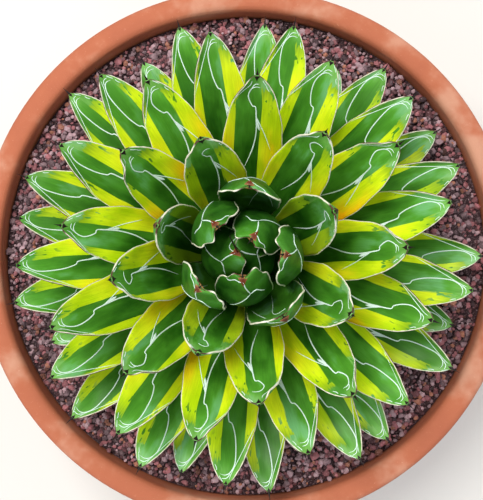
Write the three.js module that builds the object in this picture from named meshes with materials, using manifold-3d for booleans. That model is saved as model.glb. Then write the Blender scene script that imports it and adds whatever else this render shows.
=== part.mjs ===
// Potted agave: keeled, spine-tipped leaves in one spiral round a short stem, in a plain terracotta bowl
// filled with soil and dressed with grit. Millimetres, +Z up, origin in the middle of the foot.

import * as THREE from 'three';
import { mergeVertices } from 'three/addons/utils/BufferGeometryUtils.js';
import Module from 'manifold-3d';

const wasm = await Module();
wasm.setup();

// Clearance between pieces that touch
const GAP = 0.3;

// Pot: a bowl with a plain rim band and a foot ring
const POT_HEIGHT = 170;
const POT_SIDES = 48;
const FOOT_RADIUS = 126;
const FOOT_RING = 14;
const FOOT_RECESS = 2.5;
const FLOOR_TOP = 14;
const DRAIN_RADIUS = 11;
const WALL = 12;
const WALL_TOP_RADIUS = 185;
const RIM_BASE = 136;
const RIM_RADIUS = 192;
const RIM_INSIDE = 175;
const RIM_ROUNDING = 4;
const EDGE = 2;
const FLOOR_CORNER = 6;
const WALL_HEIGHTS = [30, 62, 98];
const WALL_SWELL = 0.8;

// Filling. The grit's mean level is what the plant's heights below are measured from
const GRIT_LEVEL = 151;
const GRIT_DEPTH = 13;
const GRIT_RELIEF = 1.5;
const GRIT_ROUGHNESS = 0.35;
const GRIT_RINGS = 18;
const GRIT_FIRST_RING = 4;

// Stem: half an ellipsoid that the leaves grow from, on a tapered stock in the soil
const STEM_RADIUS = 34;
const STEM_RISE = 62;
const STEM_TOP = 53;
const STEM_HEIGHTS = [0, 12, 24, 34, 42, 48, STEM_TOP];
const STOCK_DEPTH = 58;
const STOCK_RADIUS = 27;
const STEM_SIDES = 40;

// Middle of the bud, as [radius, height over the grit] above the stem's tip
const BUD_CORE = [[9, 61], [12, 68], [18, 82], [20, 98], [16, 114], [8, 127], [0, 131]];
const CORE_FOOT = 57;
const CORE_SIDES = 18;

// Leaves, numbered from the youngest open one. Bud leaves have negative numbers
const LEAVES = 62;
const HEART_LEAVES = 7;
const BUD_LEAVES = 3;
const FIRST_AZIMUTH = 44.55;
const TURN = -137.662;
const AZIMUTH_WOBBLE = 1.9;
const HIGHEST_BASE = 60;
const LOWEST_BASE = 6.5;
const BASE_POWER = 0.9;
const BUD_INSET = 2.5;

// Elevation in degrees: upright in the heart, and flatter with the leaf's number
const TOP_ELEVATION = 88;
const OPENING_LEAVES = 29;
const OPENING_POWER = 1.15;
const TILT_WOBBLE = 0.6;
const BUD_TILT = 1.5;

// Half the turn along a leaf in degrees: the youngest curl in over the heart
const OLD_BEND = 8;
const YOUNG_BEND = 42;
const CURLED_LEAVES = 6;
const CURLED_POWER = 1.6;
const BUD_BEND = 12;

// Length: greatest at one leaf, less on both sides of it
const FULL_LENGTH = 135.5;
const FULL_LEAF = 49;
const YOUNG_FADE = 108;
const OLD_FADE = 31;
const NEWEST_SHORTER = 0.12;
const LENGTH_WOBBLE = 0.016;

// Outline, as shares of the greatest half width: a neck at the base, and a blunt tip with a spine
const HALF_WIDTH = 20.5;
const NEWEST_NARROWER = 0.1;
const OLDEST_NARROWER = 3.2;
const NECK = 0.56;
const SWELL = 1.04;
const TAPER_POWER = 4;
const TAPER_ROUNDING = 0.6;
const BLADE_END = 0.972;
const SPINE_RADIUS = 1.2;

// Section: thin margins, a channel above, and a keel below that is thinner on young leaves
const KEEL = 7.2;
const YOUNG_KEEL = 0.55;
const TIP_KEEL = 0.5;
const KEEL_POWER = 1.5;
const FULL_KEEL_WIDTH = 6;
const MARGIN_AT_BASE = 1.4;
const MARGIN_AT_TIP = 1;
const CHANNEL = 0.2;
const CHANNEL_WIDTH = 8;
const OLD_WRAP = 0.6;
const WRAP_RADIUS = 9;
const HEART_SINK = 1.5;
const FOOT_CLEARANCE = 5;

// Where a leaf's rows stand along it, and its points across as shares of the half width
const STATIONS = [0, 0.1, 0.24, 0.39, 0.54, 0.68, 0.8, 0.9, BLADE_END];
const ACROSS = [-1, -0.55, 0, 0.55, 1];

// What a wobble is used for
const AZIMUTH_USE = 732;
const LENGTH_USE = 6793;
const TILT_USE = 5;

const radians = (degrees) => (degrees * Math.PI) / 180;
const mix = (a, b, t) => a + (b - a) * t;

// Rises from 0 to 1 between two values, level at both ends
function ease(from, to, value) {
  const t = Math.min(1, Math.max(0, (value - from) / (to - from)));
  return t * t * (3 - 2 * t);
}

// A fixed number between -1 and 1 for each leaf and each use
function wobble(leaf, use) {
  const wave = Math.sin(leaf * 12.9898 + use * 78.233) * 43758.5453;
  return 2 * (wave - Math.floor(wave)) - 1;
}

// The stem's radius at a height over the grit
function stemRadius(height) {
  if (height < 0) return mix(STEM_RADIUS, STOCK_RADIUS, -height / STOCK_DEPTH);
  return STEM_RADIUS * Math.sqrt(1 - (Math.min(height, STEM_RISE - 1) / STEM_RISE) ** 2);
}

// How upright a leaf stands in the middle of its length, in degrees
function elevationOf(leaf) {
  const opened = TOP_ELEVATION * Math.exp(-((Math.max(leaf, 0) / OPENING_LEAVES) ** OPENING_POWER));
  return opened + BUD_TILT * Math.max(-leaf, 0) + TILT_WOBBLE * wobble(leaf, TILT_USE);
}

// Half of how far a leaf turns in along its length, in degrees
function bendOf(leaf) {
  const curl = Math.exp(-((Math.max(leaf, 0) / CURLED_LEAVES) ** CURLED_POWER));
  return OLD_BEND + YOUNG_BEND * curl + (leaf < 0 ? BUD_BEND : 0);
}

function lengthOf(leaf) {
  const open = Math.max(leaf, 0);
  const fromFull = leaf < FULL_LEAF ? (FULL_LEAF - open) / YOUNG_FADE : (leaf - FULL_LEAF) / OLD_FADE;
  const grown = (1 - fromFull ** 2) * (1 - NEWEST_SHORTER * Math.exp(-open / 3));
  return FULL_LENGTH * grown * (1 + LENGTH_WOBBLE * wobble(leaf, LENGTH_USE));
}

// The place and size of one leaf
function leafRule(leaf) {
  const open = Math.max(leaf, 0);
  const age = open / (LEAVES - 1);
  const base = mix(HIGHEST_BASE, LOWEST_BASE, age ** BASE_POWER);
  return {
    azimuth: radians(FIRST_AZIMUTH + TURN * leaf + AZIMUTH_WOBBLE * wobble(leaf, AZIMUTH_USE)),
    elevation: radians(elevationOf(leaf)),
    bend: radians(bendOf(leaf)),
    length: lengthOf(leaf),
    halfWidth: HALF_WIDTH * (1 - NEWEST_NARROWER * Math.exp(-open / 4)) - OLDEST_NARROWER * age,
    keel: KEEL * mix(YOUNG_KEEL, 1, ease(0, 10, leaf)),
    wrap: mix(1, OLD_WRAP, ease(2, 20, leaf)),
    base,
    out: stemRadius(base) - BUD_INSET * Math.max(-leaf, 0),
  };
}

// Half the width along a leaf, as a share of its greatest
function outline(along) {
  const neck = mix(NECK, 1, ease(0.02, 0.55, along));
  const taper = Math.max(0, 1 - (along / BLADE_END) ** TAPER_POWER) ** TAPER_ROUNDING;
  return neck * taper * SWELL;
}

// The middle line of a leaf: an arc in the upright plane through the axis, with its slope there
function middleLine(rule, along) {
  const start = rule.elevation - rule.bend;
  const slope = start + 2 * rule.bend * along;
  const radius = rule.length / (2 * rule.bend);
  const out = rule.out + radius * (Math.sin(slope) - Math.sin(start));
  const up = rule.base - radius * (Math.cos(slope) - Math.cos(start));
  return { out, up, slope };
}

// A point beside and over a leaf's middle line, in the plant's frame
function placed(rule, line, side, rise) {
  const away = line.out - rise * Math.sin(line.slope);
  const cos = Math.cos(rule.azimuth);
  const sin = Math.sin(rule.azimuth);
  const height = line.up + rise * Math.cos(line.slope);
  return new THREE.Vector3(away * cos - side * sin, away * sin + side * cos, height);
}

// The thickness along the middle of a leaf, from its upper face down to the keel
function keelThickness(rule, along, half) {
  const keel = mix(rule.keel, TIP_KEEL * rule.keel, along) * Math.min(1, half / FULL_KEEL_WIDTH);
  return Math.max(2 * SPINE_RADIUS, keel);
}

// One row across a leaf: points on the upper face, then back under them on the lower one. The section is
// part of a circle that wraps round the plant's axis
function leafRow(rule, along) {
  const line = middleLine(rule, along);
  const half = Math.max(SPINE_RADIUS, rule.halfWidth * outline(along));
  const round = (rule.wrap * Math.sin(line.slope)) / Math.max(line.out, WRAP_RADIUS);
  const curve = round + (CHANNEL / Math.max(half, CHANNEL_WIDTH)) * ease(0.1, 0.5, along);
  const margin = mix(MARGIN_AT_BASE, MARGIN_AT_TIP, along);
  const keel = keelThickness(rule, along, half);
  const above = mix(0.5, 0.04, ease(0, 0.4, along));
  const section = ACROSS.map((share) => {
    const turn = share * half * curve;
    const thick = margin + (keel - margin) * (1 - Math.abs(share) ** KEEL_POWER);
    return { side: Math.sin(turn) / curve, rise: (1 - Math.cos(turn)) / curve, thick };
  });
  const face = (share) => section.map(({ side, rise, thick }) => (
    placed(rule, line, side, rise + share * thick)
  ));
  return [...face(above), ...face(above - 1).reverse()];
}

// Moves a point of a leaf's foot in or out until it lies just off the stem, or for a heart leaf just in it
function ontoStem(point, inHeart) {
  const angle = Math.atan2(point.y, point.x);
  const height = inHeart ? Math.max(point.z, STEM_TOP + GAP) : point.z;
  const onStem = stemRadius(height);
  const radius = inHeart ? onStem - HEART_SINK : onStem + GAP + FOOT_CLEARANCE / onStem;
  return new THREE.Vector3(radius * Math.cos(angle), radius * Math.sin(angle), height);
}

// One leaf: rows joined along its length, closed by the foot on the stem and by the point of the spine
function leafGeometry(leaf) {
  const rule = leafRule(leaf);
  const rows = STATIONS.map((along) => leafRow(rule, along));
  if (leaf >= 0) rows[0] = rows[0].map((point) => ontoStem(point, leaf < HEART_LEAVES));
  const ring = 2 * ACROSS.length;
  const last = (rows.length - 1) * ring;
  const faces = [];
  for (let start = 0; start < last; start += ring) {
    for (let i = 0; i < ring; i += 1) {
      const next = start + ((i + 1) % ring);
      faces.push([start + i, next + ring, next]);
      faces.push([start + i, start + i + ring, next + ring]);
    }
  }
  for (let i = 0; i + 1 < ACROSS.length; i += 1) {
    faces.push([i, i + 1, ring - 2 - i]);
    faces.push([i, ring - 2 - i, ring - 1 - i]);
  }
  const point = rows.length * ring;
  for (let i = 0; i < ring; i += 1) faces.push([last + i, point, last + ((i + 1) % ring)]);
  return closedGeometry([...rows.flat(), placed(rule, middleLine(rule, 1), 0, 0)], faces);
}

function closedGeometry(points, faces) {
  const geometry = new THREE.BufferGeometry().setFromPoints(points);
  geometry.setIndex(faces.flat());
  return geometry;
}

function toSolid(geometry) {
  const bare = geometry.clone();
  bare.deleteAttribute('normal');
  bare.deleteAttribute('uv');
  const merged = mergeVertices(bare, 1e-4);
  return new wasm.Manifold(new wasm.Mesh({
    numProp: 3,
    vertProperties: new Float32Array(merged.attributes.position.array),
    triVerts: new Uint32Array(merged.index.array),
  }));
}

function toGeometry(solid) {
  const mesh = solid.getMesh();
  const geometry = new THREE.BufferGeometry();
  geometry.setAttribute('position', new THREE.BufferAttribute(mesh.vertProperties, 3));
  geometry.setIndex(new THREE.BufferAttribute(mesh.triVerts, 1));
  return geometry;
}

// A solid turned round the Z axis from [radius, height] pairs
function turned(profile, sides) {
  const points = profile.map(([radius, height]) => new THREE.Vector2(radius, height));
  return new THREE.LatheGeometry(points, sides).rotateX(Math.PI / 2);
}

// The heart: the closed bud on the stem's tip, its outer leaves, and the youngest open leaves round it.
// Only its outer shell is kept, so the pockets between the leaves of the bud are solid
function heartGeometry() {
  const foot = STEM_TOP + GAP;
  const core = [[0, foot], [stemRadius(foot), foot], [stemRadius(CORE_FOOT), CORE_FOOT], ...BUD_CORE];
  let heart = toSolid(turned(core, CORE_SIDES));
  for (let leaf = -BUD_LEAVES; leaf < HEART_LEAVES; leaf += 1) {
    heart = heart.add(toSolid(leafGeometry(leaf)));
  }
  const shells = heart.decompose().filter((shell) => shell.volume() > 0);
  return toGeometry(wasm.Manifold.compose(shells));
}

function stemGeometry() {
  const heights = [-STOCK_DEPTH, -GRIT_DEPTH, ...STEM_HEIGHTS];
  const side = heights.map((height) => [stemRadius(height), height]);
  return turned([[0, -STOCK_DEPTH], ...side, [0, STEM_TOP]], STEM_SIDES);
}

// Joins two rings of points, the first inside the second, by walking round both at once
function joinRings(inner, outer, faces) {
  let i = 0;
  let o = 0;
  while (i < inner.length || o < outer.length) {
    const a = inner[i % inner.length];
    const b = outer[o % outer.length];
    if ((o + 0.5) / outer.length < (i + 0.5) / inner.length) {
      faces.push([a, b, outer[(o + 1) % outer.length]]);
      o += 1;
    } else {
      faces.push([a, b, inner[(i + 1) % inner.length]]);
      i += 1;
    }
  }
}

// Whether a point of the ring grid is the crown of a stone: every third point of its triangles is one
function isCrown(ring, index) {
  const corners = [[1, 0], [0, 1], [-1, 1], [-1, 0], [0, -1], [1, -1]];
  const [sector, step] = [Math.floor(index / ring), index % ring];
  const [from, to] = [corners[sector], corners[(sector + 1) % 6]];
  const across = (from[0] - from[1]) * (ring - step) + (to[0] - to[1]) * step;
  return across % 3 === 0;
}

// The grit: a flat ring whose upper face is a relief of stones, larger than life
function gritGeometry() {
  const outside = RIM_INSIDE * Math.cos(Math.PI / POT_SIDES) - GAP;
  const hole = (STEM_RADIUS + GAP) / Math.cos(Math.PI / (6 * GRIT_FIRST_RING));
  const points = [];
  const faces = [];
  const addRing = (ring, level) => {
    const radius = mix(hole, outside, (ring - GRIT_FIRST_RING) / (GRIT_RINGS - GRIT_FIRST_RING));
    return Array.from({ length: 6 * ring }, (_, index) => {
      const angle = (2 * Math.PI * index) / (6 * ring);
      points.push(new THREE.Vector3(radius * Math.cos(angle), radius * Math.sin(angle), level(index)));
      return points.length - 1;
    });
  };
  const edge = () => -0.5 * GRIT_RELIEF;
  const stones = (ring) => (index) => {
    const side = isCrown(ring, index) ? 1 : -1;
    return GRIT_RELIEF * (side * (1 - GRIT_ROUGHNESS) + GRIT_ROUGHNESS * wobble(index, ring));
  };
  const tops = [];
  for (let ring = GRIT_FIRST_RING; ring <= GRIT_RINGS; ring += 1) {
    const atEdge = ring === GRIT_FIRST_RING || ring === GRIT_RINGS;
    tops.push(addRing(ring, atEdge ? edge : stones(ring)));
    if (tops.length > 1) joinRings(tops.at(-2), tops.at(-1), faces);
  }
  const below = [GRIT_FIRST_RING, GRIT_RINGS].map((ring) => addRing(ring, () => -GRIT_DEPTH));
  const under = [];
  joinRings(below[0], below[1], under);
  joinRings(tops.at(-1), below[1], faces);
  joinRings(below[0], tops[0], faces);
  for (const [a, b, c] of under) faces.push([a, c, b]);
  return closedGeometry(points, faces);
}

// The pot's outer radius at a height below the rim
const wallRadius = (height) => mix(FOOT_RADIUS, WALL_TOP_RADIUS, (height / RIM_BASE) ** WALL_SWELL);

// The pot's inside from the floor up to the rim, drawn in by a clearance
function potInside(clearance) {
  const corner = wallRadius(FLOOR_TOP) - WALL - clearance;
  return [
    [corner - FLOOR_CORNER, FLOOR_TOP + clearance],
    [corner + EDGE, FLOOR_TOP + FLOOR_CORNER],
    ...WALL_HEIGHTS.map((height) => [wallRadius(height) - WALL - clearance, height]),
  ];
}

function potGeometry() {
  return turned([
    [DRAIN_RADIUS, FOOT_RECESS],
    [FOOT_RADIUS - FOOT_RING, FOOT_RECESS],
    [FOOT_RADIUS - FOOT_RING + FOOT_RECESS, 0],
    [FOOT_RADIUS - EDGE, 0],
    [FOOT_RADIUS + EDGE, EDGE],
    ...WALL_HEIGHTS.map((height) => [wallRadius(height), height]),
    [WALL_TOP_RADIUS, RIM_BASE],
    [RIM_RADIUS - EDGE, RIM_BASE],
    [RIM_RADIUS, RIM_BASE + EDGE],
    [RIM_RADIUS, POT_HEIGHT - RIM_ROUNDING],
    [RIM_RADIUS - RIM_ROUNDING, POT_HEIGHT],
    [RIM_INSIDE + RIM_ROUNDING, POT_HEIGHT],
    [RIM_INSIDE, POT_HEIGHT - RIM_ROUNDING],
    [RIM_INSIDE, RIM_BASE],
    ...potInside(0).reverse(),
    [DRAIN_RADIUS, FLOOR_TOP],
    [DRAIN_RADIUS, FOOT_RECESS],
  ], POT_SIDES);
}

// The soil: it fills the pot up to the grit, round a plain hole for the stem's stock
function soilGeometry() {
  const level = GRIT_LEVEL - GRIT_DEPTH - GAP;
  const holeFloor = GRIT_LEVEL - STOCK_DEPTH - GAP;
  const holeRadius = (height) => (stemRadius(height - GRIT_LEVEL) + GAP) / Math.cos(Math.PI / POT_SIDES);
  return turned([
    [0, FLOOR_TOP + GAP],
    ...potInside(GAP),
    [RIM_INSIDE - GAP, level],
    [holeRadius(level), level],
    [holeRadius(holeFloor), holeFloor],
    [0, holeFloor],
  ], POT_SIDES);
}

const finish = (color, roughness) => new THREE.MeshStandardMaterial({ color, roughness, metalness: 0 });
const leafFinish = finish(0x5f9a1c, 0.45);
const stemFinish = finish(0xb9b98a, 0.8);
const gritFinish = finish(0x7d4b45, 0.9);
const soilFinish = finish(0x3d2b20, 0.95);
const terracotta = finish(0xb5633f, 0.85);

function piece(name, geometry, material) {
  const mesh = new THREE.Mesh(geometry, material);
  mesh.name = name;
  return mesh;
}

const agave = new THREE.Group();
agave.add(piece('pot', potGeometry(), terracotta));
agave.add(piece('soil', soilGeometry(), soilFinish));

const plant = new THREE.Group();
plant.position.z = GRIT_LEVEL;
agave.add(plant);
plant.add(piece('gravel', gritGeometry(), gritFinish));
plant.add(piece('stem', stemGeometry(), stemFinish));
plant.add(piece('heart', heartGeometry(), leafFinish));
for (let leaf = HEART_LEAVES; leaf < LEAVES; leaf += 1) {
  plant.add(piece(`leaf_${String(leaf).padStart(2, '0')}`, leafGeometry(leaf), leafFinish));
}

export default agave;
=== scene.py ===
"""Potted agave: leaves with horny margins and spines, a bed of crushed stone and a terracotta bowl, built
round the packed solids. Metres, +Z up, origin in the middle of the bowl's foot."""

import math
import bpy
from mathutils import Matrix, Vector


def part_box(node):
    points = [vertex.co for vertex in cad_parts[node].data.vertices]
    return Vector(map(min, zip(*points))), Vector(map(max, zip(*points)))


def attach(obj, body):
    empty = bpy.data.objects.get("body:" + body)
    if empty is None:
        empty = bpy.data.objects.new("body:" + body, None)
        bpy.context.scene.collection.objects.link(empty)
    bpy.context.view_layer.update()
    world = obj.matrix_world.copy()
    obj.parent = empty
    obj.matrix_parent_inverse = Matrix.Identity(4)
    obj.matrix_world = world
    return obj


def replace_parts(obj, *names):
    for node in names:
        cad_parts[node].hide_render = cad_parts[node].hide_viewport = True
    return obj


bl_info = {
    "name": "Potted agave",
    "version": (1, 0, 0),
    "blender": (4, 5, 0),
    "location": "View3D > Sidebar > Agave",
    "description": "Dresses the packed solids of a potted agave with leaves, stones and fired clay",
    "category": "Add Mesh",
}

from functools import partial
from itertools import combinations
from types import SimpleNamespace

import bpy
import numpy as np
from bpy.props import FloatProperty, FloatVectorProperty, PointerProperty
from bpy.types import Operator, Panel, PropertyGroup
from mathutils import Vector

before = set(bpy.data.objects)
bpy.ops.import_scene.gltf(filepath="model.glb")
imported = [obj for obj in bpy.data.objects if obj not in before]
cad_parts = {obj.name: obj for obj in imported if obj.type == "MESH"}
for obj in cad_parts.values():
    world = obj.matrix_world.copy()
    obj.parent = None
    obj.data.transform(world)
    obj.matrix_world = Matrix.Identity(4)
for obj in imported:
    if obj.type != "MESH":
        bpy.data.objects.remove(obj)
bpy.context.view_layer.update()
BOWL_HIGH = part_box("pot")[1]

# Where the leaves stand, numbered from the youngest open one; bud leaves have negative numbers. Angles are in
# degrees. The open leaves follow the solids' rule; the heart and the outlines are closer to the plant's
LEAVES = 62
HEART_LEAVES = 7
BUD_LEAVES = 3
FIRST_AZIMUTH = 44.55
TURN = -137.662
AZIMUTH_WOBBLE = 1.9
HIGHEST_BASE = 0.060
LOWEST_BASE = 0.0065
BASE_POWER = 0.9
BUD_INSET = 0.0026
BUD_SHORTER = (0, 0.045, 0.120, 0.145)
BUD_TIP = -0.0085
BUD_TOP_TIP = -0.0032
HEART_LEAN = 4.0
HEART_TURN = 5.5

# How they rise and bend
TOP_ELEVATION = 88
OPENING_LEAVES = 29
OPENING_POWER = 1.15
TILT_WOBBLE = 0.6
OLD_BEND = 8
YOUNG_BEND = 42
CURLED_LEAVES = 6
CURLED_POWER = 1.6
BUD_BEND = 12

# Their length and outline. A taper is a power and the power that rounds it off
FULL_LEAF = 49
YOUNG_FADE = 108
OLD_FADE = 31
NEWEST_SHORTER = 0.12
SHORTER_LEAVES = 3
LENGTH_WOBBLE = 0.016
NEWEST_NARROWER = 0.1
NARROWER_LEAVES = 4
OLDEST_NARROWER = 0.0032
NECK = 0.56
NECK_ALONG = (0.02, 0.55)
OUTLINE_WAVE = 0.014
SWELL = 1.04
HEART_TAPER = (12, 0.5)
BUD_TAPER = (7, 0.55)
BLADE_END = 0.972
SPINE_RADIUS = 0.0012

# The turned-up left margin, the lobes and creases of a heart leaf, and the section. Part of a blade's
# thickness lies over the surface it is worked out from
FLAP_ROUNDING = 0.0008
FLAP_GATHER = 0.3
FLAP_WOBBLE = 0.4
FLAP_FROM_TIP = (0.001, 0.010)
TIP_FOLD_SLOPE = 0.30
LOBES_FROM_TIP = (0.032, 0.004)
CREASE_HEIGHT = 0.0021
CREASE_REACH = 0.0055
TIP_KEEL = 0.5
KEEL_POWER = 1.5
FULL_KEEL_WIDTH = 0.006
MARGIN_AT_BASE = 0.0014
MARGIN_AT_TIP = 0.001
CHANNEL = 0.2
CHANNEL_WIDTH = 0.008
CHANNEL_ALONG = (0.1, 0.5)
BASE_ABOVE = 0.5
TIP_ABOVE = 0.04
ABOVE_ALONG = (0, 0.4)
HEART_WRAP_RADIUS = 0.014
BUD_WRAP_RADIUS = 0.011
BUD_WIDER = 1.25

# The spine of the first bud leaf lies over the bud: the way it points, and how far it starts from the tip
BUD_SPINE_WAY = (-0.37, 0.76, 0.53)
BUD_SPINE_BACK = 0.010

# Length of a spine in the bud and in the heart as shares of the others'
BUD_SPINE = 2.2
HEART_SPINE = 0.8

# The stem, and how the leaves stand off it
FOOT_CLEARANCE = 5e-6
GAP = 0.0003
STEM_RADIUS = 0.034
STEM_RISE = 0.062
STOCK_RADIUS = 0.027
STOCK_DEPTH = 0.058
FOOT_SHARE = 0.1

# A spine: its foot inside the tip, the widths of its point and its flare, the power that the flare falls off
# as, the same of the one over the bud, and its height as a share of its width
SPINE_SUNK = 0.0028
SPINE_POINT = 0.06
SPINE_FLARE = (0.94, 1.5)
BUD_SPINE_FLARE = (0.5, 0.5)
SPINE_FLATTER = 0.8

# Section of a print: shares of its half width and of its height. Its ends narrow to a share of its width, at
# a slope for each length of it
PRINT_SECTION = ((-1, -0.4), (-0.7, 1), (0.7, 1), (1, -0.4))
PRINT_END = 0.15
PRINT_END_SLOPE = 6

# The margin's tube: where it starts, its radius there, its waves and its height as shares of its radius
MARGIN_START = 0.12
MARGIN_FOOT = 0.75
MARGIN_WAVE = 0.12
MARGIN_FLATTER = 0.95

# A cap: its half width at its end, the power that it grows as, and its share of the blade's half width at
# most
CAP_END = 0.00015
CAP_POWER = 1.5
CAP_LIMIT = 0.92

# Rows of points along a leaf, points across its upper and lower face, and round its margins and its spine
LEAF_ROWS = 56
OPEN_COLUMNS = (25, 9)
HEART_COLUMNS = (15, 25)
MARGIN_COLUMNS = 8
SPINE_COLUMNS = 10
CAP_POINTS = 9
PRINT_STEPS = 8

# Ripples in a blade: waves along it and across it, and what share of its phase they take. They start along it
# and end in metres from the tip, and are lower in the heart
RIPPLES = ((17, 1.9, 1), (29, -3.1, -2))
RIPPLES_ALONG = (0.15, 0.45)
RIPPLES_FROM_TIP = (0.001, 0.012)
HEART_RIPPLE = 0.4

# What a wobble is used for. The first three are the solids' own
AZIMUTH_USE, LENGTH_USE, TILT_USE = 732, 6793, 5
BAND_USE, YELLOW_USE, WARM_USE, KNEE_USE, LINE_USE, RIPPLE_USE, FLAP_USE, TONE_USE = range(11, 19)
RIGHT_BAND_USE, BOW_USE = 41, 44

# What changes with a leaf's age, as (on young leaves, on old ones, first leaf, last leaf of the change). The
# share of the heart's lean and turn, the two powers of the outline, and the shares of the keel and the wrap
HEART_CLOSED = (1, 0, 4, 8)
TAPER = ((4, 4.3, 8, 32), (0.6, 0.70, 8, 32))
KEEL = (0.55, 1, 0, 10)
WRAP = (1, 0.6, 2, 20)

# Of the turned-up left margin: its share, where its line starts to run out, how steeply, and the share of its
# print's length
FLAP = (0, 1, 5, 18)
FOLD_START = (0.0104, 0.012, 8, 32)
FOLD_SLOPE = (1.05, 0.41, 8, 32)
FOLD_PRINT = (0.5, 1, 8, 32)

# How unripe the spine and the yellow are, how little the margin is worn, and the size of the cap
UNRIPE_SPINE = (1, 0, 4, 9)
UNRIPE_YELLOW = (1, 0, 6, 12)
UNWORN = (0.5, 0, 8, 18)
YOUNG_CAP = (1.5, 1, 6, 14)
OLD_CAP = (1, 0.6, 15, 40)

# Edges of the dark band as shares of the half width
BAND_LEFT = (0.44, 0.58, 6, 13)
BAND_RIGHT = (-0.42, -0.30, 6, 13)

# Prints of an open leaf: how far from the tip the main line turns back, where it bends, how far it bows out,
# and the share of the way between the first two at which it bows most
PRINT_TOP = (0.0178, 0.0124, 10, 19)
OLD_PRINT_TOP = (0, 0.0024, 24, 36)
PRINT_KNEE = (0.031, 0.047, 20, 31)
PRINT_BOW = (0.0036, 0.0046, 12, 32)
PRINT_EARLY = (0.40, 0.26, 20, 32)

# Distance in mm from the tip to where the yellow starts, left and right: on most leaves, how much it varies,
# and how much further it is on young leaves
YELLOW_START = ((23, 7, 20), (16.5, 3, 11))
YELLOW_LATER = (1, 0, 7, 13)

# How much the band and the shade differ between leaves, and what the heart has instead: its lower tone is
# painted shade.
# Its pattern's distance from the tip is stretched, starts further on, and is moved by the lobes, so that a
# heart leaf darkens quickly away from its tip as painted shade, and its bulging lobes are lighter, partly
# paler unripe tissue and partly painted light
BAND_WOBBLE = 0.08
TONE_WOBBLE = 0.12
HEART_PAINTED_SHADE = 0.84
HEART_YELLOW_LATER = 20
HEART_BAND_EDGE = 6.0
HEART_PATTERN = (3.2, 13, 1900)

# Share of the half width under which the band narrows, and the distances in mm from the tip between which the
# yellow turns warm
BAND_NARROWS = 0.72
SUNNED = (30, 75)

# How warm the yellow is and how much that varies, between which shares of the half width it turns so, and how
# much less it is on the left
WARMTH = (0.7, 0.5)
SUNNED_ACROSS = (0.15, 1.0)
SUNNED_LEFT = 0.55

# Lobes of a heart leaf's end: how far ahead, how far to the left of the middle and how wide. Then a bud's
HEART_LOBES = (
    (0.0055, 0.0078, 0.0036), (0.0022, -0.0045, 0.0026), (0.0030, 0.0170, 0.0024), (-0.0016, -0.0096, 0.0022),
)
BUD_LOBES = ((0.0020, 0.0060, 0.0030), (-0.0035, -0.0048, 0.0040))

# Prints on the outer face of a heart leaf, as (side, distance from the tip): stem, two branches and an arc
HEART_FORK = (0.0040, 0.0172)
HEART_PRINTS = (
    ((0.0002, 0.0050), (0.0014, 0.0105), HEART_FORK),
    (HEART_FORK, (0.0082, 0.0176), (0.0135, 0.0200)),
    (HEART_FORK, (-0.0020, 0.0250), (-0.0095, 0.0350)),
    ((-0.0003, 0.0046), (-0.0026, 0.0064), (-0.0068, 0.0066), (-0.0106, 0.0054)),
)
HEART_INNER_PRINTS = (
    ((0.0005, 0.0780), (-0.0024, 0.0620), (-0.0046, 0.0500), (-0.0030, 0.0425), (0.0035, 0.0400)),
    ((-0.0100, 0.0430), (-0.0135, 0.0540), (-0.0160, 0.0660)),
)

# Half widths of the prints on the inner and on the outer face, at their start and end
HEART_PRINT_WIDTHS = ((0.00032, 0.00028), (0.00036, 0.00032))

# Distance out and height over the grit of the cone in the middle of the bud
BUD_CORE = (
    (0.0085, 0.061), (0.012, 0.068), (0.017, 0.082), (0.018, 0.096), (0.014, 0.108), (0.007, 0.118),
    (0.0003, 0.122),
)

GRIT_LEVEL = 0.151
GRIT_SEED = 5

# The stones: share of each colour, spread and limits of their size, how light their shades are, and how much
# of the red is in the bed under them, which is otherwise the dark stone colour: painted shade in the gaps
# between the stones
STONE_SHARES = {"red": 0.42, "mauve": 0.48, "rust": 0.10}
SIZE_SPREAD = 0.30
SIZE_LIMITS = (0.5, 1.8)
SHADES = (-0.2, 1)
BED_RED = 0.1

# How uneven a stone is before it is cut, the number of cuts, how far from its middle they lie, and its
# stretch
UNEVEN = (0.88, 1.12)
CUTS = 6
CUT_AT = (0.5, 0.85)
STRETCH = (0.75, 1.2)

# How far the stones are moved off their lattice in shares of its spacing, and the height of each layer
JITTER = 0.4
LAYERS = (0.0006, 0.0021)
LAYER_SPREAD = 0.0003

# Bowl
WALL_TOP_RADIUS = 0.185
WALL_SWELL = 0.8
FOOT_RING = 0.014
FOOT_RECESS = 0.0025
FLOOR_TOP = 0.014
DRAIN_RADIUS = 0.011
ARC_POINTS = 6
BOWL_COLUMNS = 180

# The camera stands a little to the right of the plant's axis and below it, and looks back by these angles
CAMERA_PLACE = (0.0103, -0.0100)
CAMERA_TILT = (math.radians(1.14), math.radians(1.05), 0)

# Soft lights: place, size, which power and what share of it, and colour. All of them face one spot
LIGHTS = {
    "large soft light": ((-0.52, 0.60, 1.85), 0.9, "key_power", 1, (1.0, 0.98, 0.94)),
    "low soft light": ((0.85, -1.0, 1.0), 2.2, "fill_power", 0.45, (0.88, 0.94, 1.0)),
    "right soft light": ((1, 0.85, 1.1), 1.5, "fill_power", 0.6, (0.97, 0.98, 1.0)),
    "left soft light": ((-1, -0.85, 1.1), 1.5, "fill_power", 0.6, (0.97, 0.98, 1.0)),
}
LIT_SPOT = (0, 0, 0.2)
SKY = "#e8f0f8"
FLOOR_REACH = 6.0

MILLIMETRES = 1000

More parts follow.
